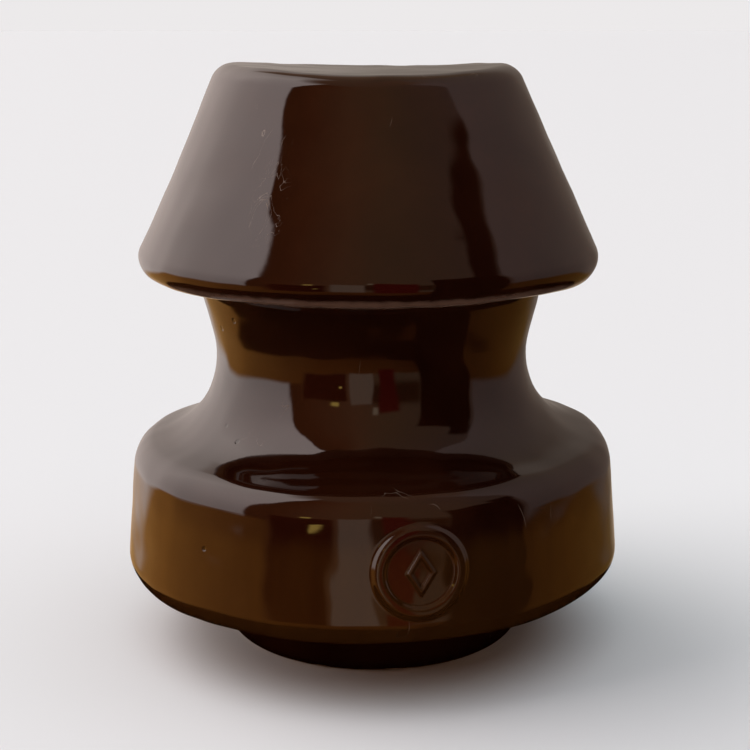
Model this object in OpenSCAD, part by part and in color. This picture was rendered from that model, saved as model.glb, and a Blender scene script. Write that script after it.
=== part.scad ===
// Low-voltage pin insulator. A one-piece porcelain shell, glazed brown, has a truncated-cone
// head with a drip rim, a tie-wire groove, a round-shouldered skirt and a foot ring. A metal
// thread thimble is cemented into its pin hole. Millimetres, +Z up. The origin is on the axis,
// in the plane of the foot ring.

/* [Overall] */
// Height from the foot ring to the crown
height = 104.6; // [100:0.2:114]
// Diameter of the skirt, to the sharp corner below its side
skirt_d = 92.1; // [90:0.1:96]
// Diameter of the foot ring
foot_d = 55.4; // [51:0.2:56]

/* [Head] */
// Diameter of the crown, to its sharp corner
crown_d = 52.6; // [48:0.2:60]
// Diameter of the drip rim, to its sharp corner
rim_d = 86.4; // [84:0.2:89]
// Height of the rim's corner above the foot ring
rim_z = 68.7; // [68:0.1:71]
// Rounding between the crown and the cone
crown_round = 4.2; // [3:0.2:8]
// Rounding of the rim
rim_round = 3.4; // [2.4:0.2:4]

/* [Tie-wire groove] */
// Smallest diameter of the neck
neck_d = 57.2; // [55:0.2:59]
// Height of the corner that the waist rounds, above the foot ring
waist_z = 52.4; // [51.8:0.2:54]
// Rounding of the waist, along the axis
waist_round = 17; // [13:0.5:17.5]

/* [Skirt] */
// Diameter of the shoulder, to its sharp corner
shoulder_d = 88; // [86:0.2:89.4]
// Height of the shoulder's corner above the foot ring
shoulder_z = 36.9; // [36.5:0.1:37.6]
// Rounding of the shoulder
shoulder_round = 5.2; // [4:0.2:6.4]
// Height of the lip above the foot ring
lip_z = 11.6; // [9:0.2:12]
// Rounding of the lip's outer edge
lip_round = 4.9; // [3.5:0.1:6]
// Width of the lip, from the skirt's sharp corner to the recess
lip_w = 9.9; // [9.5:0.1:11]
// Height of the recess ceiling above the foot ring
recess_z = 31; // [24:1:33]

/* [Pin hole] */
// Diameter of the hole in the porcelain
hole_d = 38.4; // [38:0.2:39.6]
// Depth of the hole from the foot ring
hole_depth = 55; // [54:0.5:57]
// Thickness of the sand fired onto the hole's wall
sand_t = 0.8; // [0.6:0.1:0.9]
// Depth of the cement's face inside the hole
cement_inset = 5; // [4:0.5:6]
// Thickness of the cushion above the thimble
cushion_t = 2.5; // [2:0.5:3]

/* [Thread thimble] */
// Outer diameter of the thimble
thimble_d = 31; // [30.6:0.1:31.4]
// Depth of the thimble's mouth inside the hole
thimble_inset = 3; // [2.5:0.5:3.5]
// Thickness of the thimble's crown
thimble_crown_t = 3; // [2.5:0.5:3]
// Diameter at the thread's crests, for a pin of 1 in
thread_crest_d = 22.2; // [22:0.1:22.4]
// Diameter at the thread's roots
thread_root_d = 25.4; // [25.2:0.1:25.6]
// Distance from thread to thread, 4 to the inch
thread_pitch = 6.35; // [6.3:0.05:6.4]

/* [Raised mark] */
// Radius of the round mark on the skirt
mark_r = 8; // [6:0.2:8.2]
// Height of its centre above the foot ring
mark_z = 25.2; // [24.8:0.2:25.6]
// Turn of the mark from the front, towards +X
mark_turn = 10; // [0:1:90]
// Height of its ring and its diamond above the skirt
mark_relief = 0.8; // [0.4:0.1:1]

/* [Hidden] */
$fn = 96;

glaze_brown = "#2b140b";
sand_buff = "#b7a283";
cement_grey = "#8f8b84";
bitumen_black = "#15130f";
zinc_grey = "#8b9095";
cork_brown = "#9b7448";

arc_step = 7; // most degrees from one point of an arc to the next

// Rim and neck
rim_inner_r = rim_d / 2 - 6.5; // where the rim's sloping underside meets its flat one
rim_drop = 1.5; // that edge lies this far below the rim's corner
rim_edge_round = 0.9;
neck_top_r = neck_d / 2 + 3.3; // level with the rim's corner, so that the underside is a cove
neck_top_round = 0.85 * (rim_inner_r - neck_top_r);
waist_stand = 0.68; // the waist's arc stands this far out from the corner it rounds
neck_foot_r = neck_d / 2 + 3.4;
neck_foot_rise = 3.4; // the foot of the neck lies this far above the shoulder's corner
neck_foot_round = 13.4;

// Underside
lip_inner_r = skirt_d / 2 - lip_w;
lip_inner_round = 1.5;
recess_outer_r = lip_inner_r - 1.5;
recess_inner_r = foot_d / 2 + 1;
recess_round = (recess_outer_r - recess_inner_r) / 2 - 0.2;
foot_round = 3.6;
mouth_round = 0.8;
hole_r = hole_d / 2;
hole_top_round = 5;

// Cemented joint
plug_r = hole_r - sand_t;
plug_top = hole_depth - sand_t;
thimble_r = thimble_d / 2;
bitumen_t = 0.3;
coat_r = thimble_r + bitumen_t;
thimble_top = plug_top - cushion_t;
key_r = 1.6; // radius of the keying grooves round the thimble
key_centre_r = thimble_r + 0.5;
key_count = 4;
key_pitch = (thimble_top - cement_inset) / key_count;

// Thread, cut as rings with the true pitch and depth
thread_r = thread_crest_d / 2;
thread_depth = (thread_root_d - thread_crest_d) / 2;
thread_cut_r = 2;
thread_top = thimble_top - thimble_crown_t;
thread_start = thimble_inset + 4.2;
thread_count = floor((thread_top - thread_cut_r - thread_start) / thread_pitch) + 1;
mouth_chamfer = thread_depth;

// Raised mark
mark_field = 0.3; // the mark's field stands this far out from the skirt
mark_ring_w = 1.8;
mark_reach = 8; // the mark's cylinders reach this far into and out of the skirt's side
diamond_w = 5;
diamond_h = 8;
diamond_hollow = 0.55; // share of the diamond that its hollow middle takes

// The half section of the porcelain: [radius, height, rounding] at each corner
body_corners = [
    [0, height, 0],
    [crown_d / 2, height, crown_round],
    [rim_d / 2, rim_z, rim_round],
    [rim_inner_r, rim_z - rim_drop, rim_edge_round],
    [neck_top_r, rim_z, neck_top_round],
    [neck_d / 2 - waist_stand, waist_z, waist_round],
    [neck_foot_r, shoulder_z + neck_foot_rise, neck_foot_round],
    [shoulder_d / 2, shoulder_z, shoulder_round],
    [skirt_d / 2, lip_z, lip_round],
    [lip_inner_r, lip_z, lip_inner_round],
    [recess_outer_r, recess_z, recess_round],
    [recess_inner_r, recess_z, recess_round],
    [foot_d / 2, 0, foot_round],
    [hole_r, 0, mouth_round],
    [hole_r, hole_depth, hole_top_round],
    [0, hole_depth, 0]
];

function unit(v) = v / norm(v);
function turn_between(from, to) = let (d = to - from) d > 180 ? d - 360 : d < -180 ? d + 360 : d;

// Points of the arc of radius r that rounds the corner b between a and c
function corner_arc(a, b, c, r) =
    let (
        u = unit(a - b),
        v = unit(c - b),
        half = acos(u * v) / 2,
        centre = b + unit(u + v) * r / sin(half),
        start = b + u * r / tan(half) - centre,
        end = b + v * r / tan(half) - centre,
        from = atan2(start[1], start[0]),
        sweep = turn_between(from, atan2(end[1], end[0])),
        steps = ceil(abs(sweep) / arc_step)
    )
    [for (i = [0:steps]) centre + r * [cos(from + sweep * i / steps), sin(from + sweep * i / steps)]];

// A closed outline from its corners, each [radius, height, rounding]
function rounded(corners) =
    let (n = len(corners), p = [for (c = corners) [c[0], c[1]]])
    [for (i = [0:n - 1]) each corners[i][2] == 0
        ? [p[i]]
        : corner_arc(p[(i + n - 1) % n], p[i], p[(i + 1) % n], corners[i][2])];

// Radius of the skirt's straight side at height z
function side_r(z) =
    skirt_d / 2 + (shoulder_d - skirt_d) / 2 * (z - lip_z) / (shoulder_z - lip_z);

// A prism or cylinder that points out of the skirt at the mark; its outline is the child
module at_mark() {
    rotate([0, 0, mark_turn])
        translate([0, mark_reach - side_r(mark_z), mark_z])
            rotate([90, 0, 0])
                linear_extrude(2 * mark_reach) children();
}

// The skirt's side near the mark, grown outwards by h
module grown_side(h) {
    low = mark_z - mark_r - 1;
    high = mark_z + mark_r + 1;
    inner = side_r(mark_z) - mark_reach / 2;
    rotate_extrude()
        polygon([[inner, low], [side_r(low) + h, low], [side_r(high) + h, high], [inner, high]]);
}

// A round mark: a low field, a raised ring and the line of a plain diamond
module raised_mark() {
    intersection() {
        grown_side(mark_field);
        at_mark() circle(mark_r - mark_ring_w / 2);
    }
    intersection() {
        grown_side(mark_relief);
        at_mark() difference() {
            circle(mark_r);
            circle(mark_r - mark_ring_w);
        }
    }
    intersection() {
        grown_side(mark_relief);
        at_mark() difference() {
            diamond(1);
            diamond(diamond_hollow);
        }
    }
}

// A plain diamond, as a share of its full size
module diamond(share) {
    across = share * diamond_w / 2;
    along = share * diamond_h / 2;
    polygon([[across, 0], [0, along], [-across, 0], [0, -along]]);
}

// Half section of a bar with the keying grooves cut round it
module keyed_bar(r, groove_r, low, high) {
    difference() {
        translate([0, low]) square([r, high - low]);
        for (i = [0:key_count - 1])
            translate([key_centre_r, cement_inset + key_pitch * (i + 0.5)]) circle(groove_r);
    }
}

// Half section of what fills the pin hole inside its sand
module plug_section(low) {
    polygon(rounded([
        [0, low, 0],
        [plug_r, low, 0],
        [plug_r, plug_top, hole_top_round - sand_t],
        [0, plug_top, 0]
    ]));
}

// The glazed porcelain shell
module porcelain_body() {
    color(glaze_brown) {
        rotate_extrude() polygon(rounded(body_corners));
        raised_mark();
    }
}

// Sand fired onto the wall and the crown of the pin hole, to key the cement
module sand_band() {
    color(sand_buff) rotate_extrude() difference() {
        polygon(rounded([
            [0, cement_inset, 0],
            [hole_r, cement_inset, 0],
            [hole_r, hole_depth, hole_top_round],
            [0, hole_depth, 0]
        ]));
        plug_section(0);
    }
}

// Cement between the sanded hole and the coated thimble
module cement_fill() {
    color(cement_grey) rotate_extrude() difference() {
        plug_section(cement_inset);
        keyed_bar(coat_r, key_r - bitumen_t, 0, thimble_top);
        translate([0, thimble_top - 1]) square([coat_r, height]);
    }
}

// Bitumen painted round the thimble, which lets metal and cement move apart
module bitumen_coat() {
    color(bitumen_black) rotate_extrude() difference() {
        keyed_bar(coat_r, key_r - bitumen_t, cement_inset, thimble_top);
        keyed_bar(thimble_r, key_r, 0, height);
    }
}

// The metal thimble, with the pin's thread inside and keying grooves outside
module thread_thimble() {
    color(zinc_grey) rotate_extrude() difference() {
        keyed_bar(thimble_r, key_r, thimble_inset, thimble_top);
        square([thread_r, thread_top]);
        for (i = [0:thread_count - 1])
            translate([thread_r + thread_depth - thread_cut_r, thread_start + thread_pitch * i])
                circle(thread_cut_r);
        polygon([
            [0, 0],
            [thread_r + mouth_chamfer, thimble_inset],
            [thread_r, thimble_inset + mouth_chamfer],
            [0, thimble_inset + mouth_chamfer]
        ]);
    }
}

// Cork disc between the thimble's crown and the top of the hole
module cushion_disc() {
    color(cork_brown)
        translate([0, 0, thimble_top]) cylinder(r = coat_r, h = cushion_t);
}

porcelain_body();
sand_band();
cement_fill();
bitumen_coat();
thread_thimble();
cushion_disc();
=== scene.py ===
import math
import random

import bpy
import numpy as np
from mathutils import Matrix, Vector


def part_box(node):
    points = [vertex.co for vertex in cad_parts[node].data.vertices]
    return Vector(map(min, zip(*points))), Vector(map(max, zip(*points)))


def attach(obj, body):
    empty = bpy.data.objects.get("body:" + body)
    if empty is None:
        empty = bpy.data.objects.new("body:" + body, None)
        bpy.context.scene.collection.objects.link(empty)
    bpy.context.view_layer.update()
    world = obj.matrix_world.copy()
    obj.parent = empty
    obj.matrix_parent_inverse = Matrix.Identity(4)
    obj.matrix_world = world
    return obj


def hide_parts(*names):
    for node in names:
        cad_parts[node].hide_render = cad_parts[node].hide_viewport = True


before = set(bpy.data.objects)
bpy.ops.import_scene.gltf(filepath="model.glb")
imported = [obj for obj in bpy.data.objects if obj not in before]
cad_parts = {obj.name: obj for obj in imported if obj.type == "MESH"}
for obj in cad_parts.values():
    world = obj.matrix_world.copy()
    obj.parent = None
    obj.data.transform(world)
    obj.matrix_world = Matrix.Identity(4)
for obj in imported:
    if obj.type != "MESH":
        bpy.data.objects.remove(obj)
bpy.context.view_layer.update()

MM = 0.001
body_low, body_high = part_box("porcelain_body")
thimble_low, thimble_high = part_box("thread_thimble")

# ---------------------------------------------------------------- camera
CAMERA_DISTANCE = 0.2841  # from the axis, towards the front
CAMERA_HEIGHT = 0.1127
CAMERA_SIDE = 0.00025
CAMERA_PITCH = 12.84  # degrees down
CAMERA_LENS = 75.2


def add_camera():
    data = bpy.data.cameras.new("camera")
    data.lens = CAMERA_LENS
    data.sensor_width = 36
    data.clip_start = 0.02
    data.clip_end = 60
    camera = bpy.data.objects.new("camera", data)
    bpy.context.scene.collection.objects.link(camera)
    camera.location = (CAMERA_SIDE, -CAMERA_DISTANCE, CAMERA_HEIGHT)
    camera.rotation_euler = (math.radians(90 - CAMERA_PITCH), 0, 0)
    bpy.context.scene.camera = camera


add_camera()


# ---------------------------------------------------------------- node helpers
class Nodes:
    """Short calls that add nodes to a tree."""

    def __init__(self, tree):
        self.tree = tree
        tree.nodes.clear()

    def node(self, kind, **settings):
        made = self.tree.nodes.new(kind)
        for key, value in settings.items():
            setattr(made, key, value)
        return made

    def put(self, value, socket):
        if isinstance(value, bpy.types.NodeSocket):
            self.tree.links.new(value, socket)
        else:
            socket.default_value = value

    def ramp(self, value, low, high, to_low=0.0, to_high=1.0):
        """A smooth step from to_low at low to to_high at high. low may be the larger one."""
        made = self.node("ShaderNodeMapRange", interpolation_type="SMOOTHSTEP")
        self.put(value, made.inputs["Value"])
        for key, number in (
            ("From Min", low), ("From Max", high), ("To Min", to_low), ("To Max", to_high)
        ):
            made.inputs[key].default_value = number
        return made.outputs["Result"]

    def math(self, operation, a, b=0.0):
        made = self.node("ShaderNodeMath", operation=operation)
        self.put(a, made.inputs[0])
        self.put(b, made.inputs[1])
        return made.outputs["Value"]

    def mix(self, factor, a, b):
        made = self.node("ShaderNodeMix", data_type="RGBA")
        self.put(factor, made.inputs["Factor"])
        for value, socket in ((a, made.inputs[6]), (b, made.inputs[7])):
            self.put(value if isinstance(value, bpy.types.NodeSocket) else (*value, 1), socket)
        return made.outputs[2]

    def scaled(self, colour, factor):
        made = self.node("ShaderNodeVectorMath", operation="SCALE")
        self.put(colour, made.inputs["Vector"])
        self.put(factor, made.inputs["Scale"])
        return made.outputs["Vector"]

    def within(self, value, low, high, soft):
        """1 between low and high, falling to 0 over soft on both sides of each edge."""
        rising = self.ramp(value, low - soft, low + soft)
        return self.math("MULTIPLY", rising, self.ramp(value, high + soft, high - soft))

    def apart(self, vector):
        made = self.node("ShaderNodeSeparateXYZ")
        self.put(vector, made.inputs[0])
        return made.outputs

    def azimuth(self, x, y):
        """Degrees round the vertical axis: 0 is the front (-Y), -90 the left."""
        return self.math("MULTIPLY", self.math("ARCTAN2", x, self.math("MULTIPLY", y, -1.0)), 180 / math.pi)

    def ring(self, azimuth, stops, brightest):
        """Colour round the axis, from stops of (azimuth, colour), divided by brightest."""
        made = self.node("ShaderNodeValToRGB")
        self.put(self.math("DIVIDE", self.math("ADD", azimuth, 180.0), 360.0), made.inputs["Fac"])
        elements = made.color_ramp.elements
        while len(elements) < len(stops):
            elements.new(0.5)
        for element, (at, colour) in zip(elements, stops):
            element.position = (at + 180) / 360
            element.color = (*(c / brightest for c in colour), 1)
        return made.outputs["Color"]


class Finish(Nodes):
    """A material with one Principled surface."""

    def __init__(self, name):
        self.material = bpy.data.materials.new(name)
        self.material.use_nodes = True
        super().__init__(self.material.node_tree)
        self.surface = self.node("ShaderNodeBsdfPrincipled")
        self.put(self.surface.outputs["BSDF"], self.node("ShaderNodeOutputMaterial").inputs["Surface"])
        self.place = self.node("ShaderNodeTexCoord").outputs["Object"]

    def stretched(self, x, y, z):
        made = self.node("ShaderNodeMapping")
        self.put(self.place, made.inputs["Vector"])
        made.inputs["Scale"].default_value = (x, y, z)
        return made.outputs["Vector"]

    def noise(self, size_mm, detail=3.0, rough=0.5, place=None, warp=0.0):
        made = self.node("ShaderNodeTexNoise")
        self.put(place or self.place, made.inputs["Vector"])
        made.inputs["Scale"].default_value = 1 / (size_mm * MM)
        made.inputs["Detail"].default_value = detail
        made.inputs["Roughness"].default_value = rough
        made.inputs["Distortion"].default_value = warp
        return made.outputs["Fac"]

    def cells(self, size_mm):
        made = self.node("ShaderNodeTexVoronoi", feature="F1")
        self.put(self.place, made.inputs["Vector"])
        made.inputs["Scale"].default_value = 1 / (size_mm * MM)
        return made.outputs["Distance"]

    def attribute(self, name):
        return self.node("ShaderNodeAttribute", attribute_name=name).outputs["Fac"]

    def bump(self, height, distance_mm, strength=1.0, under=None):
        made = self.node("ShaderNodeBump")
        self.put(height, made.inputs["Height"])
        made.inputs["Distance"].default_value = distance_mm * MM
        made.inputs["Strength"].default_value = strength
        if under is not None:
            self.put(under, made.inputs["Normal"])
        return made.outputs["Normal"]

    def set(self, **values):
        names = {"color": "Base Color", "rough": "Roughness", "metal": "Metallic",
                 "ior": "IOR", "normal": "Normal", "specular": "Specular IOR Level"}
        for key, value in values.items():
            self.put(value, self.surface.inputs[names[key]])
        return self.material


# ---------------------------------------------------------------- materials
# colours are linear; sizes of noise and cells, and bump heights, are in mm
GLAZE_DARK = (0.0095, 0.0019, 0.0007)
GLAZE_RED = (0.017, 0.0042, 0.0014)
# the amber is partly glaze colour and partly a painted reflection of a warm table below
GLAZE_AMBER_AND_REFLECTION = (0.029, 0.0100, 0.0018)
# the pale thin glaze is partly a painted highlight along the rim
GLAZE_THIN_AND_HIGHLIGHT = (0.085, 0.045, 0.030)
SCUFF = (0.20, 0.16, 0.13)
IRON_SPECK = (0.003, 0.002, 0.001)
BISQUE = (0.42, 0.34, 0.25)
BISQUE_STAIN = (0.20, 0.14, 0.09)
GLAZE_IOR = 1.53
CEMENT_DARK, CEMENT_PALE = (0.17, 0.16, 0.145), (0.37, 0.355, 0.33)
# the hole colour is painted shade inside the cement's air holes
CEMENT_GRIT, CEMENT_HOLE_SHADE = (0.12, 0.11, 0.10), (0.06, 0.055, 0.05)
SAND_PALE, SAND_DARK, SAND_RUST = (0.5, 0.42, 0.31), (0.27, 0.2, 0.13), (0.33, 0.22, 0.14)
BITUMEN_DARK, BITUMEN_PALE = (0.006, 0.005, 0.005), (0.02, 0.017, 0.013)
ZINC_DARK, ZINC_PALE, ZINC_OXIDE = (0.23, 0.245, 0.26), (0.47, 0.49, 0.5), (0.62, 0.63, 0.62)
CORK_PALE, CORK_BROWN, CORK_BARK = (0.42, 0.25, 0.12), (0.22, 0.11, 0.045), (0.06, 0.03, 0.015)


def glaze():
    s = Finish("brown_glaze")
    cloud = s.noise(24, detail=4, rough=0.55, warp=0.4)
    fine = s.noise(2.2, detail=5, rough=0.6)
    run = s.noise(3.0, detail=3, place=s.stretched(1, 1, 0.12))
    colour = s.mix(s.ramp(cloud, 0.35, 0.7), GLAZE_DARK, GLAZE_RED)
    # amber low on the skirt, in streaks that ran down, partly a painted reflection of a warm table below;
    # pale where the glaze is thin, partly a painted highlight along the rim
    amber = s.math("ADD", s.attribute("amber"), s.math("MULTIPLY", s.ramp(run, 0.3, 0.7, -0.5, 0.5), 0.22))
    colour = s.mix(s.ramp(amber, 0.15, 0.95), colour, GLAZE_AMBER_AND_REFLECTION)
    # pale thin glaze on the head's sharp edges and under the rim: partly a painted highlight
    thin = s.math("ADD", s.attribute("thin"), s.ramp(fine, 0.3, 0.7, -0.12, 0.12))
    colour = s.mix(s.ramp(thin, 0.35, 1.1), colour, GLAZE_THIN_AND_HIGHLIGHT)
    # dark iron specks, each in a small pit
    speck = s.ramp(s.cells(7.5), 0.075, 0.045)
    chosen = s.ramp(s.noise(16, detail=0), 0.56, 0.6)
    speck = s.math("MULTIPLY", speck, chosen)
    colour = s.mix(speck, colour, IRON_SPECK)
    # hairline scratches, pale where the glaze is scuffed
    strands = s.noise(9, detail=2, place=s.stretched(1, 1, 0.22), warp=1.4)
    hair = s.ramp(s.math("ABSOLUTE", s.math("SUBTRACT", strands, 0.5)), 0.004, 0.0005)
    patch = s.ramp(s.noise(13, detail=2), 0.62, 0.68)
    scratch = s.math("MULTIPLY", hair, patch)
    # denser short scratches where the head has been knocked
    short = s.noise(3.2, detail=2, place=s.stretched(1, 1, 0.35), warp=2.0)
    knocks = s.ramp(s.math("ABSOLUTE", s.math("SUBTRACT", short, 0.5)), 0.010, 0.002)
    scratch = s.math("MAXIMUM", scratch, s.math("MULTIPLY", knocks, s.ramp(s.attribute("scuffed"), 0.3, 0.8)))
    colour = s.mix(s.math("MULTIPLY", scratch, 0.6), colour, SCUFF)
    # the foot ring is wiped free of glaze, up to an uneven line
    line = s.math("ADD", s.attribute("bare"), s.ramp(s.noise(3.5), 0.3, 0.7, -0.22, 0.22))
    bare = s.ramp(line, 0.44, 0.56)
    stain = s.mix(s.ramp(s.noise(5, detail=5, rough=0.65), 0.35, 0.65), BISQUE_STAIN, BISQUE)
    colour = s.mix(bare, colour, stain)
    # uneven gloss, dull on scratches and bare clay
    gloss = s.ramp(s.noise(30, detail=5, rough=0.65), 0.3, 0.75, 0.035, 0.085)
    gloss = s.math("ADD", gloss, s.math("MULTIPLY", scratch, 0.3))
    gloss = s.math("ADD", gloss, s.math("MULTIPLY", bare, 0.7))
    peel = s.bump(s.noise(2.6, detail=2), 0.012, 0.5)
    pits = s.bump(s.math("SUBTRACT", 1.0, speck), 0.08, 0.8, under=peel)
    grain = s.bump(s.math("MULTIPLY", bare, s.noise(0.5, detail=4)), 0.12, 0.8, under=pits)
    return s.set(color=colour, rough=gloss, normal=grain, ior=GLAZE_IOR)


def cement():
    s = Finish("grey_cement")
    blotch = s.noise(6, detail=6, rough=0.65)
    colour = s.mix(s.ramp(blotch, 0.3, 0.7), CEMENT_DARK, CEMENT_PALE)
    grit = s.ramp(s.cells(0.7), 0.32, 0.1)
    colour = s.mix(s.math("MULTIPLY", grit, 0.5), colour, CEMENT_GRIT)
    # painted shade: the air holes are coloured dark as well as dented
    holes = s.ramp(s.cells(2.1), 0.16, 0.1)
    colour = s.mix(holes, colour, CEMENT_HOLE_SHADE)
    height = s.math("SUBTRACT", s.noise(0.6, detail=6, rough=0.7), s.math("MULTIPLY", holes, 0.8))
    return s.set(color=colour, rough=0.92, normal=s.bump(height, 0.25, 0.9))


def fired_sand():
    s = Finish("fired_sand")
    grain = s.cells(0.55)
    colour = s.mix(s.ramp(grain, 0.1, 0.6), SAND_PALE, SAND_DARK)
    colour = s.mix(s.ramp(s.noise(4), 0.4, 0.7), colour, SAND_RUST)
    return s.set(color=colour, rough=0.85, normal=s.bump(s.math("SUBTRACT", 1.0, grain), 0.3, 0.9))


def bitumen():
    s = Finish("bitumen")
    sag = s.noise(2.5, detail=3)
    colour = s.mix(s.ramp(sag, 0.3, 0.7), BITUMEN_DARK, BITUMEN_PALE)
    rough = s.ramp(s.noise(1.2, detail=4), 0.3, 0.7, 0.28, 0.6)
    return s.set(color=colour, rough=rough, normal=s.bump(sag, 0.15, 0.7))


def zinc():
    s = Finish("cast_zinc")
    bloom = s.noise(5, detail=6, rough=0.65, warp=0.5)
    colour = s.mix(s.ramp(bloom, 0.3, 0.72), ZINC_DARK, ZINC_PALE)
    white = s.ramp(s.noise(2.2, detail=5, rough=0.7), 0.56, 0.72)
    colour = s.mix(white, colour, ZINC_OXIDE)
    rough = s.ramp(bloom, 0.3, 0.7, 0.36, 0.6)
    rough = s.math("ADD", rough, s.math("MULTIPLY", white, 0.25))
    metal = s.ramp(white, 0.0, 1.0, 0.95, 0.35)
    return s.set(color=colour, rough=rough, metal=metal, normal=s.bump(s.noise(0.8, detail=5), 0.06, 0.8))


def cork():
    s = Finish("cork")
    grain = s.cells(1.4)
    colour = s.mix(s.ramp(grain, 0.1, 0.7), CORK_PALE, CORK_BROWN)
    dark = s.ramp(s.noise(1.1, detail=4), 0.6, 0.68)
    colour = s.mix(dark, colour, CORK_BARK)
    return s.set(color=colour, rough=0.9, normal=s.bump(grain, 0.2, 0.8))


# ---------------------------------------------------------------- turned meshes
def unit(v):
    return v / np.hypot(*v)


def rounded(corners, step):
    """A closed outline from corners (radius, height, rounding), arcs drawn every step degrees."""
    points = []
    spots = [np.array(c[:2], float) for c in corners]
    for i, (radius, height, fillet) in enumerate(corners):
        here = spots[i]
        if not fillet:
            points.append(here)
            continue
        u, v = unit(spots[i - 1] - here), unit(spots[(i + 1) % len(spots)] - here)
        half = math.acos(float(u @ v)) / 2
        centre = here + unit(u + v) * fillet / math.sin(half)
        first, last = (here + w * fillet / math.tan(half) - centre for w in (u, v))
        start = math.atan2(first[1], first[0])
        sweep = (math.atan2(last[1], last[0]) - start + math.pi) % math.tau - math.pi
        count = max(2, math.ceil(abs(math.degrees(sweep)) / step))
        for k in range(count + 1):
            a = start + sweep * k / count
            points.append(centre + fillet * np.array([math.cos(a), math.sin(a)]))
    return points


def divided(points, longest):
    """The open run of points, with every stretch longer than longest(middle) cut into equal ones."""
    out = [points[0]]
    for a, b in zip(points, points[1:]):
        count = max(1, math.ceil(np.hypot(*(b - a)) / longest((a + b) / 2)))
        out += [a + (b - a) * k / count for k in range(1, count + 1)]
    return np.array(out)


def outward(run):
    """Unit normals of a run that goes round its solid clockwise, seen with the axis on the left."""
    ahead = np.vstack([run[1:], run[-1:]]) - np.vstack([run[:1], run[:-1]])
    ahead /= np.maximum(np.hypot(ahead[:, 0], ahead[:, 1])[:, None], 1e-9)
    return np.column_stack([-ahead[:, 1], ahead[:, 0]])


def turned(name, run, angles, lift, attributes=()):
    """A closed mesh turned from a run that starts and ends on the axis.

    lift(r, z, a) gives the shifts (out, up, aside) in mm of the points at radius r, height z, angle a.
    """
    r, z = run[1:-1, 0][:, None], run[1:-1, 1][:, None]
    a = np.array(angles)[None, :]
    out, up, aside = lift(r, z, a)
    reach, height = r + out, z + up
    rows, cols = reach.shape
    middle = np.stack([reach * np.cos(a) + aside, reach * np.sin(a), height * np.ones_like(a)], axis=2)
    ends = np.array([[0, 0, run[0, 1] + up[0].mean()], [0, 0, run[-1, 1] + up[-1].mean()]])
    places = np.vstack([middle.reshape(-1, 3), ends]) * MM
    i, j = np.meshgrid(np.arange(rows - 1), np.arange(cols), indexing="ij")
    k = (j + 1) % cols
    quads = np.stack([i * cols + j, (i + 1) * cols + j, (i + 1) * cols + k, i * cols + k], 2).reshape(-1, 4)
    top, bottom = rows * cols, rows * cols + 1
    j = np.arange(cols)
    k = (j + 1) % cols
    caps = [(top, int(p), int(q)) for p, q in zip(j, k)]
    caps += [(bottom, int(q), int(p)) for p, q in zip((rows - 1) * cols + j, (rows - 1) * cols + k)]
    mesh = bpy.data.meshes.new(name)
    mesh.from_pydata(places.tolist(), [], quads.tolist() + caps)
    mesh.polygons.foreach_set("use_smooth", [True] * len(mesh.polygons))
    for key, values in attributes:
        full = np.concatenate([(values * np.ones((rows, cols))).ravel(), [0, 0]])
        mesh.attributes.new(key, "FLOAT", "POINT").data.foreach_set("value", full.astype(np.float32))
    mesh.update()
    piece = bpy.data.objects.new(name, mesh)
    bpy.context.scene.collection.objects.link(piece)
    return piece


def smooth(low, high, x):
    t = np.clip((x - low) / (high - low), 0, 1)
    return t * t * (3 - 2 * t)


def waves(seed, count, shortest, longest, height):
    """A smooth random field: sines in random directions, wavelengths between shortest and longest mm."""
    rng = random.Random(seed)
    parts = []
    for _ in range(count):
        azimuth, rise = rng.uniform(0, math.tau), rng.uniform(-1, 1)
        flat = math.sqrt(1 - rise * rise)
        way = (flat * math.cos(azimuth), flat * math.sin(azimuth), rise)
        length = shortest * (longest / shortest) ** rng.random()
        parts.append((way, math.tau / length, rng.uniform(0, math.tau), height * length / longest))

    def field(x, y, z):
        return sum(h * np.sin(k * (w[0] * x + w[1] * y + w[2] * z) + p) for w, k, p, h in parts)

    return field


# ---------------------------------------------------------------- porcelain
HEIGHT = (body_high.z - body_low.z) / MM
NECK_R = 28.6
FOOT_R = 27.7
SKIRT_R, LIP_Z = 46.05, 11.6
SHOULDER_R, SHOULDER_Z = 44.0, 36.9
RIM_R, RIM_Z = 43.2, 68.7
HOLE_R, HOLE_DEPTH = 19.2, 55
RECESS_Z = 31
# radius, height and rounding of each corner of the half section, from the crown round to the hole
BODY_CORNERS = [
    (0, HEIGHT, 0),
    (26.3, HEIGHT, 4.2),
    (RIM_R, RIM_Z, 3.4),
    (RIM_R - 6.5, RIM_Z - 1.5, 0.9),
    (NECK_R + 3.3, RIM_Z, 4.1),
    (NECK_R - 0.68, 52.4, 17),
    (NECK_R + 3.4, SHOULDER_Z + 3.4, 13.4),
    (SHOULDER_R, SHOULDER_Z, 5.2),
    (SKIRT_R, LIP_Z, 4.9),
    (SKIRT_R - 9.9, LIP_Z, 1.5),
    (SKIRT_R - 11.4, RECESS_Z, 2.7),
    (FOOT_R + 1, RECESS_Z, 2.7),
    (FOOT_R, 0, 3.6),
    (HOLE_R, 0, 0.8),
    (HOLE_R, HOLE_DEPTH, 5),
    (0, HOLE_DEPTH, 0),
]
ARC_STEP = 5  # degrees between points on a rounding
SIDE_STEP, TURN_COUNT = 2.2, 188  # longest stretch, and points round the axis, away from the mark
# the round mark
MARK_ANGLE = math.radians(-90 + 10)
MARK_Z = 25.2
MARK_R = 8
MARK_RELIEF = 0.8
MARK_REACH = MARK_R + 1
MARK_STEP = 0.2
FIELD_RELIEF, FIELD_EDGE = 0.3, 1.4
RING_INSET, RING_HALF = 1.3, 1.15
DIAMOND_HALF_W, DIAMOND_HALF_H = 2.5, 4
DIAMOND_LINE, LINE_HALF = 0.78, 0.2  # as shares of the diamond
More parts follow.
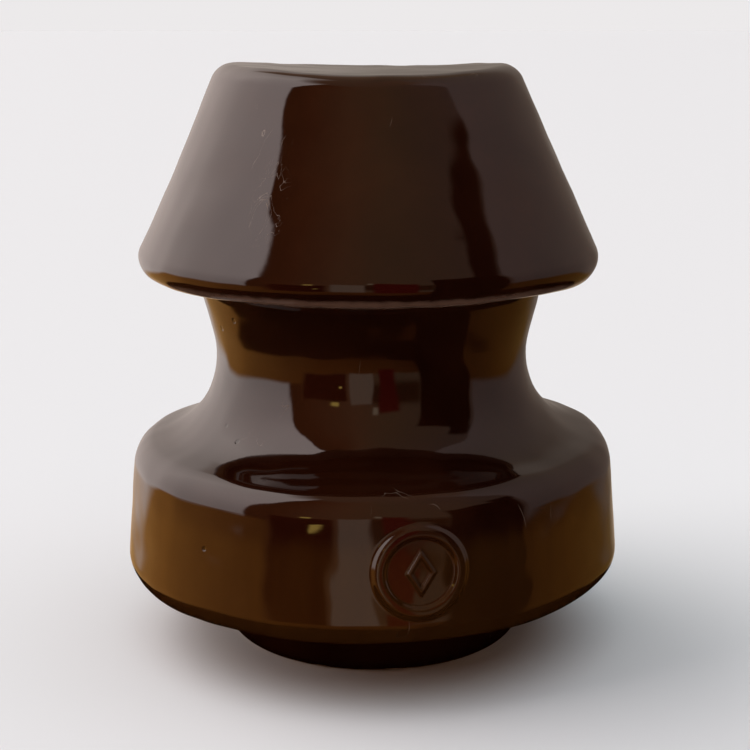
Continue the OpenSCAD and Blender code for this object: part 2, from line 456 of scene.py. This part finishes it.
# how the fired piece strays from true, in mm: waves take a seed, a count, two lengths and a height
SLOW_WAVES = (3, 14, 14, 48, 0.085)
QUICK_WAVES = (5, 18, 5, 12, 0.016)
CROWN_DIP, CROWN_LIFT, CROWN_HALF_W, CROWN_DEPTH = 1.0, 0.15, 25, 12
HEAD_SHIFT, HEAD_FROM, HEAD_WHOLE = 0.45, 63, 69
LEAN = 0.007
LIP_TILT, TILT_FROM, TILT_WHOLE = math.tan(math.radians(0.8)), 60, 12
FOOT_CLEAR_R, RECESS_WALL_R = 30, 37  # between these radii lies the recess
RECESS_TRUE_Z, RECESS_TILT_Z = 29, 10
FADE_ROWS = 14  # points of the half section over which the waves fade out at the lip
# where the glaze changes; the amber low on the skirt is partly a painted reflection, the pale rim underside
# partly a painted highlight
THIN_FROM_Z, EDGE_BEND, EDGE_BEND_WHOLE = 60, 12, 40  # bends in degrees per mm
# the pale band on the rim's down-facing underside: partly thin glaze, partly a painted highlight
RIM_UNDER_Z, RIM_UNDER_W, RIM_UNDER_FROM, RIM_UNDER_WHOLE = 64, 6, -0.3, -0.75  # the last two by how far it faces down
BARE_FROM_Z, BARE_WHOLE_Z = 1.4, 0.1
# the amber band low on the skirt is partly a painted reflection of a warm table below
AMBER, AMBER_FROM_Z, AMBER_WHOLE_Z = 0.75, 34, 27
SCUFF_TURN, SCUFF_Z = -26, 84
SCUFF_TURN_SPREAD, SCUFF_Z_SPREAD = 6, 8


def mark_relief(across, along):
    """Height in mm of the round mark: a low field, a raised ring and the line of a plain diamond."""
    away = np.hypot(across, along)
    field = FIELD_RELIEF * smooth(MARK_R, MARK_R - FIELD_EDGE, away)
    ring = MARK_RELIEF * np.exp(-(((away - MARK_R + RING_INSET) / RING_HALF) ** 4))
    diamond = np.abs(across) / DIAMOND_HALF_W + np.abs(along) / DIAMOND_HALF_H
    line = MARK_RELIEF * np.exp(-(((diamond - DIAMOND_LINE) / LINE_HALF) ** 4))
    return np.maximum(np.maximum(field, ring), line)


def wrapped(angle):
    """The same angle between -pi and pi."""
    return (angle + math.pi) % math.tau - math.pi


def outside_share(run):
    """1 on the outside above the lip, falling to 0 on the foot, in the recess and in the hole."""
    r, z = run[1:-1, 0], run[1:-1, 1]
    lip = int(np.argmin(np.hypot(r - RECESS_WALL_R, z - LIP_Z)))
    return smooth(lip, lip - FADE_ROWS, np.arange(len(r)))[:, None]


def glaze_attributes(run, normal, angles):
    """Where the glaze is scuffed, thin, wiped off and amber, from 0 to 1. The amber is partly a painted
    reflection of a warm table below; the thin band under the rim is partly a painted highlight.
    """
    r, z = run[1:-1, 0], run[1:-1, 1]
    bend = np.abs(np.degrees(np.diff(np.unwrap(np.arctan2(normal[:, 1], normal[:, 0])))))
    span = np.hypot(*np.diff(run[1:-1], axis=0).T)
    sharp = np.concatenate([[0], bend / np.maximum(span, 0.05)])
    sharp = np.convolve(sharp, np.ones(5) / 5, "same")
    cross = np.concatenate([[0], normal[:-1, 0] * normal[1:, 1] - normal[:-1, 1] * normal[1:, 0]])
    sharp_edge = (cross < 0) & (z > THIN_FROM_Z)
    thin = np.where(sharp_edge, smooth(EDGE_BEND, EDGE_BEND_WHOLE, sharp), 0)
    # painted highlight, in part: the rim's down-facing underside is made pale like thin glaze
    on_rim = (z > RIM_UNDER_Z) & (r > RIM_R - RIM_UNDER_W)
    thin = np.maximum(thin, smooth(RIM_UNDER_FROM, RIM_UNDER_WHOLE, normal[:, 1]) * on_rim)
    bare = smooth(BARE_FROM_Z, BARE_WHOLE_Z, z) * (r < FOOT_R)
    on_skirt = (r > FOOT_CLEAR_R) & (z > LIP_Z - 0.1)
    # painted reflection, in part: the amber band low on the skirt
    amber = AMBER * smooth(AMBER_FROM_Z, AMBER_WHOLE_Z, z) * on_skirt
    turn = (np.degrees(wrapped(angles[None, :] + math.pi / 2)) - SCUFF_TURN) / SCUFF_TURN_SPREAD
    scuffed = np.exp(-(turn ** 2) - ((z[:, None] - SCUFF_Z) / SCUFF_Z_SPREAD) ** 2)
    return [("scuffed", scuffed), ("thin", thin[:, None]), ("bare", bare[:, None]), ("amber", amber[:, None])]


def add_porcelain():
    def longest(middle):
        on_mark = middle[0] > SHOULDER_R - 1 and abs(middle[1] - MARK_Z) < MARK_REACH
        return MARK_STEP if on_mark else SIDE_STEP

    run = divided(rounded(BODY_CORNERS, ARC_STEP), longest)
    normal = outward(run)[1:-1]
    outside = outside_share(run)
    half = MARK_REACH / SKIRT_R
    near = np.linspace(-half, half, 2 * round(MARK_REACH / MARK_STEP) + 1)
    far = np.linspace(half, math.tau - half, TURN_COUNT)[1:-1]
    angles = MARK_ANGLE + np.concatenate([near, far])
    slow = waves(*SLOW_WAVES)
    quick = waves(*QUICK_WAVES)

    def lift(r, z, a):
        x, y = r * np.cos(a), r * np.sin(a)
        height = outside * (slow(x, y, z) + quick(x, y, z))
        on_side = (r > SHOULDER_R - 1.5) & (z > LIP_Z) & (z < SHOULDER_Z)
        relief = mark_relief(wrapped(a - MARK_ANGLE) * r, z - MARK_Z)
        height = height + np.where(on_side, relief, 0)
        out, up = height * normal[:, :1], height * normal[:, 1:]
        crown = smooth(HEIGHT - CROWN_DEPTH, HEIGHT, z) * outside
        up = up + crown * (CROWN_LIFT - CROWN_DIP * np.clip(1 - (x / CROWN_HALF_W) ** 2, 0, 1))
        in_recess = (r < RECESS_WALL_R) & (z < RECESS_Z + 1)
        tilt = smooth(TILT_FROM, TILT_WHOLE, z) * (r > FOOT_CLEAR_R)
        tilt = tilt * np.where(in_recess, smooth(RECESS_TRUE_Z, RECESS_TILT_Z, z), 1)
        up = up + LIP_TILT * x * tilt
        aside = outside * (-HEAD_SHIFT * smooth(HEAD_FROM, HEAD_WHOLE, z) - LEAN * z)
        return out, up, aside

    piece = turned("glazed_porcelain", run, angles, lift, glaze_attributes(run, normal, angles))
    piece.data.materials.append(glaze())
    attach(piece, "root")
    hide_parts("porcelain_body")


add_porcelain()

# ---------------------------------------------------------------- thimble
THREAD_R, THREAD_DEPTH, THREAD_PITCH = 11.1, 1.6, 6.35
GROOVE_HALF, GROOVE_POWER = 0.32, 0.7  # half width as a share of the pitch, and how full its form is
TOP_RUNOUT, MOUTH_RUNOUT = (0.6, 4), (0.8, 2.2)
THREAD_STEP, PLAIN_STEP, THIMBLE_TURNS = 0.3, 1.5, 144
THIMBLE_R, THIMBLE_EDGE = 15.5, 0.8
MOUTH_EDGE, MOUTH_BREAK = 0.6, 0.3
KEY_R, KEY_COUNT, KEY_STEPS, KEY_OFFSET = 1.6, 4, 12, 0.5
KEY_EDGE = math.radians(18)
CEMENT_Z = 5
CROWN_T = 3


def thimble_outline(low, high, inner_top):
    """Half section, from the axis at the top, down the keyed outside and up the bore."""
    outline = [(0, high), (THIMBLE_R - THIMBLE_EDGE, high), (THIMBLE_R, high - THIMBLE_EDGE)]
    pitch = (high - CEMENT_Z) / KEY_COUNT
    for i in reversed(range(KEY_COUNT)):
        middle = CEMENT_Z + pitch * (i + 0.5)
        for k in range(KEY_STEPS + 1):
            a = math.pi / 2 + KEY_EDGE + (math.pi - 2 * KEY_EDGE) * k / KEY_STEPS
            out = THIMBLE_R + KEY_OFFSET + KEY_R * math.cos(a)
            outline.append((min(THIMBLE_R, out), middle + KEY_R * math.sin(a)))
    mouth = THREAD_R + THREAD_DEPTH
    outline += [
        (THIMBLE_R, low + MOUTH_EDGE), (THIMBLE_R - MOUTH_EDGE, low), (mouth + MOUTH_BREAK, low),
        (mouth, low + MOUTH_BREAK), (THREAD_R, low + THREAD_DEPTH), (THREAD_R, inner_top), (0, inner_top),
    ]
    return [np.array(point, float) for point in outline]


def add_thimble():
    low, high = thimble_low.z / MM, thimble_high.z / MM
    inner_top = high - CROWN_T

    def longest(middle):
        on_thread = middle[0] < THREAD_R + THREAD_DEPTH + 0.2 and middle[1] < inner_top - 0.05
        return THREAD_STEP if on_thread else PLAIN_STEP

    run = divided(thimble_outline(low, high, inner_top), longest)
    angles = np.linspace(0, math.tau, THIMBLE_TURNS + 1)[:-1]

    def lift(r, z, a):
        wall = (np.abs(r - THREAD_R) < 0.02) & (z > low + 1) & (z < inner_top - 0.01)
        phase = ((z - low) / THREAD_PITCH - a / math.tau) % 1
        groove = np.clip(1 - (np.abs(phase - 0.5) / GROOVE_HALF) ** 2, 0, 1) ** GROOVE_POWER
        start, whole = TOP_RUNOUT
        runout = smooth(inner_top - start, inner_top - whole, z)
        start, whole = MOUTH_RUNOUT
        runout = runout * smooth(low + start, low + whole, z)
        return np.where(wall, THREAD_DEPTH * groove * runout, 0), np.zeros_like(z * a), 0

    piece = turned("threaded_zinc_thimble", run, angles, lift)
    piece.data.materials.append(zinc())
    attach(piece, "root")
    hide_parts("thread_thimble")


add_thimble()


def dress(node, material):
    """Gives a carried-over CAD node its material."""
    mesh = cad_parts[node].data
    mesh.materials.clear()
    mesh.materials.append(material)


dress("sand_band", fired_sand())
dress("cement_fill", cement())
dress("bitumen_coat", bitumen())
dress("cushion_disc", cork())


# ---------------------------------------------------------------- stage
FLOOR_REACH = 14
FLOOR_COLOUR = (0.76, 0.79, 0.80)
OVERHEAD_SPREAD, OVERHEAD_COLOUR, OVERHEAD_POWER = math.radians(100), (0.60, 0.85, 1.0), 1.6


def flat_sheet(name, corners, material):
    mesh = bpy.data.meshes.new(name)
    mesh.from_pydata(corners, [], [tuple(range(len(corners)))])
    mesh.materials.append(material)
    sheet = bpy.data.objects.new(name, mesh)
    bpy.context.scene.collection.objects.link(sheet)
    return sheet


def add_floor():
    """The pale floor. The glaze mirrors the dome's lower half instead of it."""
    reach = FLOOR_REACH
    corners = [(-reach, -reach, 0), (reach, -reach, 0), (reach, reach, 0), (-reach, reach, 0)]
    material = Finish("pale_floor").set(color=(*FLOOR_COLOUR, 1), rough=0.8, specular=0.1)
    floor = flat_sheet("floor", corners, material)
    floor.visible_glossy = False


def add_overhead():
    """A wide, soft, cool light from above that evens out the floor. The glaze doesn't mirror it."""
    light = bpy.data.lights.new("overhead", "SUN")
    light.angle = OVERHEAD_SPREAD
    light.color = OVERHEAD_COLOUR
    light.energy = OVERHEAD_POWER
    lamp = bpy.data.objects.new("overhead", light)
    lamp.visible_glossy = False
    bpy.context.scene.collection.objects.link(lamp)


# The dome's light, by azimuth (0 is the front, -90 the left) and elevation, in degrees.
# A ring is a row of stops (azimuth, colour) with an even change from one to the next.
BRIGHTEST = 3.4
PALE_BACKGROUND = (0.84, 0.82, 0.825)
SKY_RING = (
    (-180, (0.34, 0.29, 0.25)), (-125, (2.20, 1.88, 1.76)), (-62, (2.45, 2.03, 1.95)),
    (75, (0.50, 0.36, 0.33)), (150, (0.27, 0.20, 0.16)), (180, (0.34, 0.29, 0.25)),
)
SKY_FADE = (-15, 50, 0.74, 1.16)  # two elevations, then the factor at each
# the dim room in front
FRONT, FRONT_SOFT = (-62, 76), 1.2
FRONT_RING = (
    (-62, (0.22, 0.07, 0.02)), (-44, (0.32, 0.10, 0.04)), (-15, (0.44, 0.20, 0.10)),
    (12, (0.38, 0.22, 0.12)), (76, (0.30, 0.19, 0.15)),
)
# the warm table below, with its far edge as an elevation, lower in front and at the back
TABLE_RING = (
    (-180, (0.75, 0.60, 0.48)), (-155, (0.62, 0.34, 0.12)), (-110, (0.95, 0.40, 0.09)),
    (-65, (0.60, 0.22, 0.05)), (-40, (0.42, 0.13, 0.02)), (15, (0.38, 0.12, 0.03)),
    (45, (0.14, 0.04, 0.01)), (105, (0.28, 0.11, 0.02)), (150, (0.20, 0.11, 0.03)),
    (180, (0.75, 0.60, 0.48)),
)
TABLE_FADE = (-65, -14, 0.2, 1.0)
TABLE_EDGE, TABLE_SOFT = -8.5, 3
FRONT_EDGE, FRONT_EDGE_SOFT = -22, 2
NEAR_FRONT, NEAR_FRONT_SOFT = (-52, 34), 3
BACK_DROP, BACK_FROM, BACK_WHOLE = 7, 115, 140
# the table's dark middle: everything steeper than this, and than this plus a rise at the sides
SHADE_EDGE, SHADE_SOFT, SHADE_LEVEL = -38.2, 1.2, 0.06
SHADE_RISE, SHADE_SIDE = 10.5, 105
# panels: colour, azimuths, elevations, softness of the edges
PANELS = (
    ((0.42, 0.23, 0.14), (-200, 200), (70, 100), 5),  # ceiling
    ((0.36, 0.22, 0.14), (-200, -156), (38, 110), 4),  # the ceiling goes down further at the back
    ((0.30, 0.20, 0.13), (154, 200), (38, 110), 4),
    ((0.11, 0.045, 0.018), (-6, 34), (-12, 12), 5),  # dark wall
    ((0.09, 0.008, 0.003), (-50, -20), (-22, 8), 2),  # dark board
    ((0.78, 0.53, 0.39), (-17, 0), (-23, 13), 1.2),  # pale strip
    ((0.26, 0.010, 0.012), (6, 20), (-26, 20), 2),  # red cloth
    ((0.002, 0.001, 0.001), (33, 73), (-60, 34), 1.5),  # black flag and its narrow top
    ((0.010, 0.004, 0.003), (60, 75), (32, 41), 2),
    ((1.20, 0.90, 0.62), (2, 6), (16, 21), 1),  # small lamps
    ((3.20, 2.10, 0.50), (-33, -28), (9, 13), 1),
    ((3.20, 2.10, 0.50), (-27, -24), (-8.5, -6.5), 0.8),
)


def table_colour(n, azimuth, rise, turn):
    """The table's glow, dark in the middle. turn is the azimuth squared."""
    table = n.scaled(n.ring(azimuth, TABLE_RING, BRIGHTEST), n.ramp(rise, *TABLE_FADE))
    side = n.math("MINIMUM", turn, SHADE_SIDE ** 2)
    steep = n.math("SUBTRACT", rise, n.math("MULTIPLY", side, SHADE_RISE / SHADE_SIDE ** 2))
    shade = n.ramp(steep, SHADE_EDGE - SHADE_SOFT, SHADE_EDGE + SHADE_SOFT, SHADE_LEVEL, 1.0)
    return n.scaled(table, shade)


def table_mask(n, azimuth, rise, turn):
    """1 below the table's far edge."""
    near = n.ramp(rise, FRONT_EDGE + FRONT_EDGE_SOFT, FRONT_EDGE - FRONT_EDGE_SOFT)
    back = n.ramp(turn, BACK_FROM ** 2, BACK_WHOLE ** 2, 0.0, BACK_DROP)
    below = n.ramp(n.math("ADD", rise, back), TABLE_EDGE + TABLE_SOFT, TABLE_EDGE - TABLE_SOFT)
    aside = n.math("SUBTRACT", 1.0, n.within(azimuth, *NEAR_FRONT, NEAR_FRONT_SOFT))
    return n.math("MAXIMUM", near, n.math("MULTIPLY", below, aside))


def add_dome():
    """Soft light from all round. The glaze mirrors its broad areas and its panels."""
    world = bpy.data.worlds.new("studio")
    bpy.context.scene.world = world
    world.use_nodes = True
    n = Nodes(world.node_tree)
    x, y, z = n.apart(n.node("ShaderNodeTexCoord").outputs["Generated"])
    azimuth = n.azimuth(x, y)
    rise = n.math("MULTIPLY", n.math("ARCSINE", z), 180 / math.pi)
    turn = n.math("MULTIPLY", azimuth, azimuth)
    sky = n.scaled(n.ring(azimuth, SKY_RING, BRIGHTEST), n.ramp(rise, *SKY_FADE))
    colour = n.mix(n.within(azimuth, *FRONT, FRONT_SOFT), sky, n.ring(azimuth, FRONT_RING, BRIGHTEST))
    mask = table_mask(n, azimuth, rise, turn)
    colour = n.mix(mask, colour, table_colour(n, azimuth, rise, turn))
    for tint, across, up, soft in PANELS:
        mask = n.math("MULTIPLY", n.within(azimuth, *across, soft), n.within(rise, *up, soft))
        colour = n.mix(mask, colour, tuple(c / BRIGHTEST for c in tint))
    light = n.node("ShaderNodeBackground")
    n.put(colour, light.inputs["Color"])
    light.inputs["Strength"].default_value = BRIGHTEST
    seen = n.node("ShaderNodeBackground")
    seen.inputs["Color"].default_value = (*PALE_BACKGROUND, 1)
    both = n.node("ShaderNodeMixShader")
    n.put(n.node("ShaderNodeLightPath").outputs["Is Camera Ray"], both.inputs[0])
    n.put(light.outputs[0], both.inputs[1])
    n.put(seen.outputs[0], both.inputs[2])
    n.put(both.outputs[0], n.node("ShaderNodeOutputWorld").inputs["Surface"])
    bpy.context.scene.view_settings.view_transform = "Standard"


# painted shade: a black sheet hidden from the camera, which the glaze mirrors as the shadow under the skirt
CARD_R, CARD_Z, CARD_SIDES = 62, -1, 96
SHADOW_CARD_COLOUR = (0.004, 0.002, 0.001)


def add_mirrored_shadow_card():
    """A black sheet under the foot that only the glaze mirrors: painted shade, standing in for the shadow
    under the skirt.
    """
    turns = [math.tau * i / CARD_SIDES for i in range(CARD_SIDES)]
    corners = [(CARD_R * math.cos(a) * MM, CARD_R * math.sin(a) * MM, CARD_Z * MM) for a in turns]
    material = Finish("mirrored_shadow_card").set(color=(*SHADOW_CARD_COLOUR, 1), rough=1.0, specular=0.0)
    card = flat_sheet("mirrored_shadow_card", corners, material)
    card.visible_camera = card.visible_diffuse = card.visible_shadow = card.visible_transmission = False


add_floor()
add_overhead()
add_dome()
add_mirrored_shadow_card()
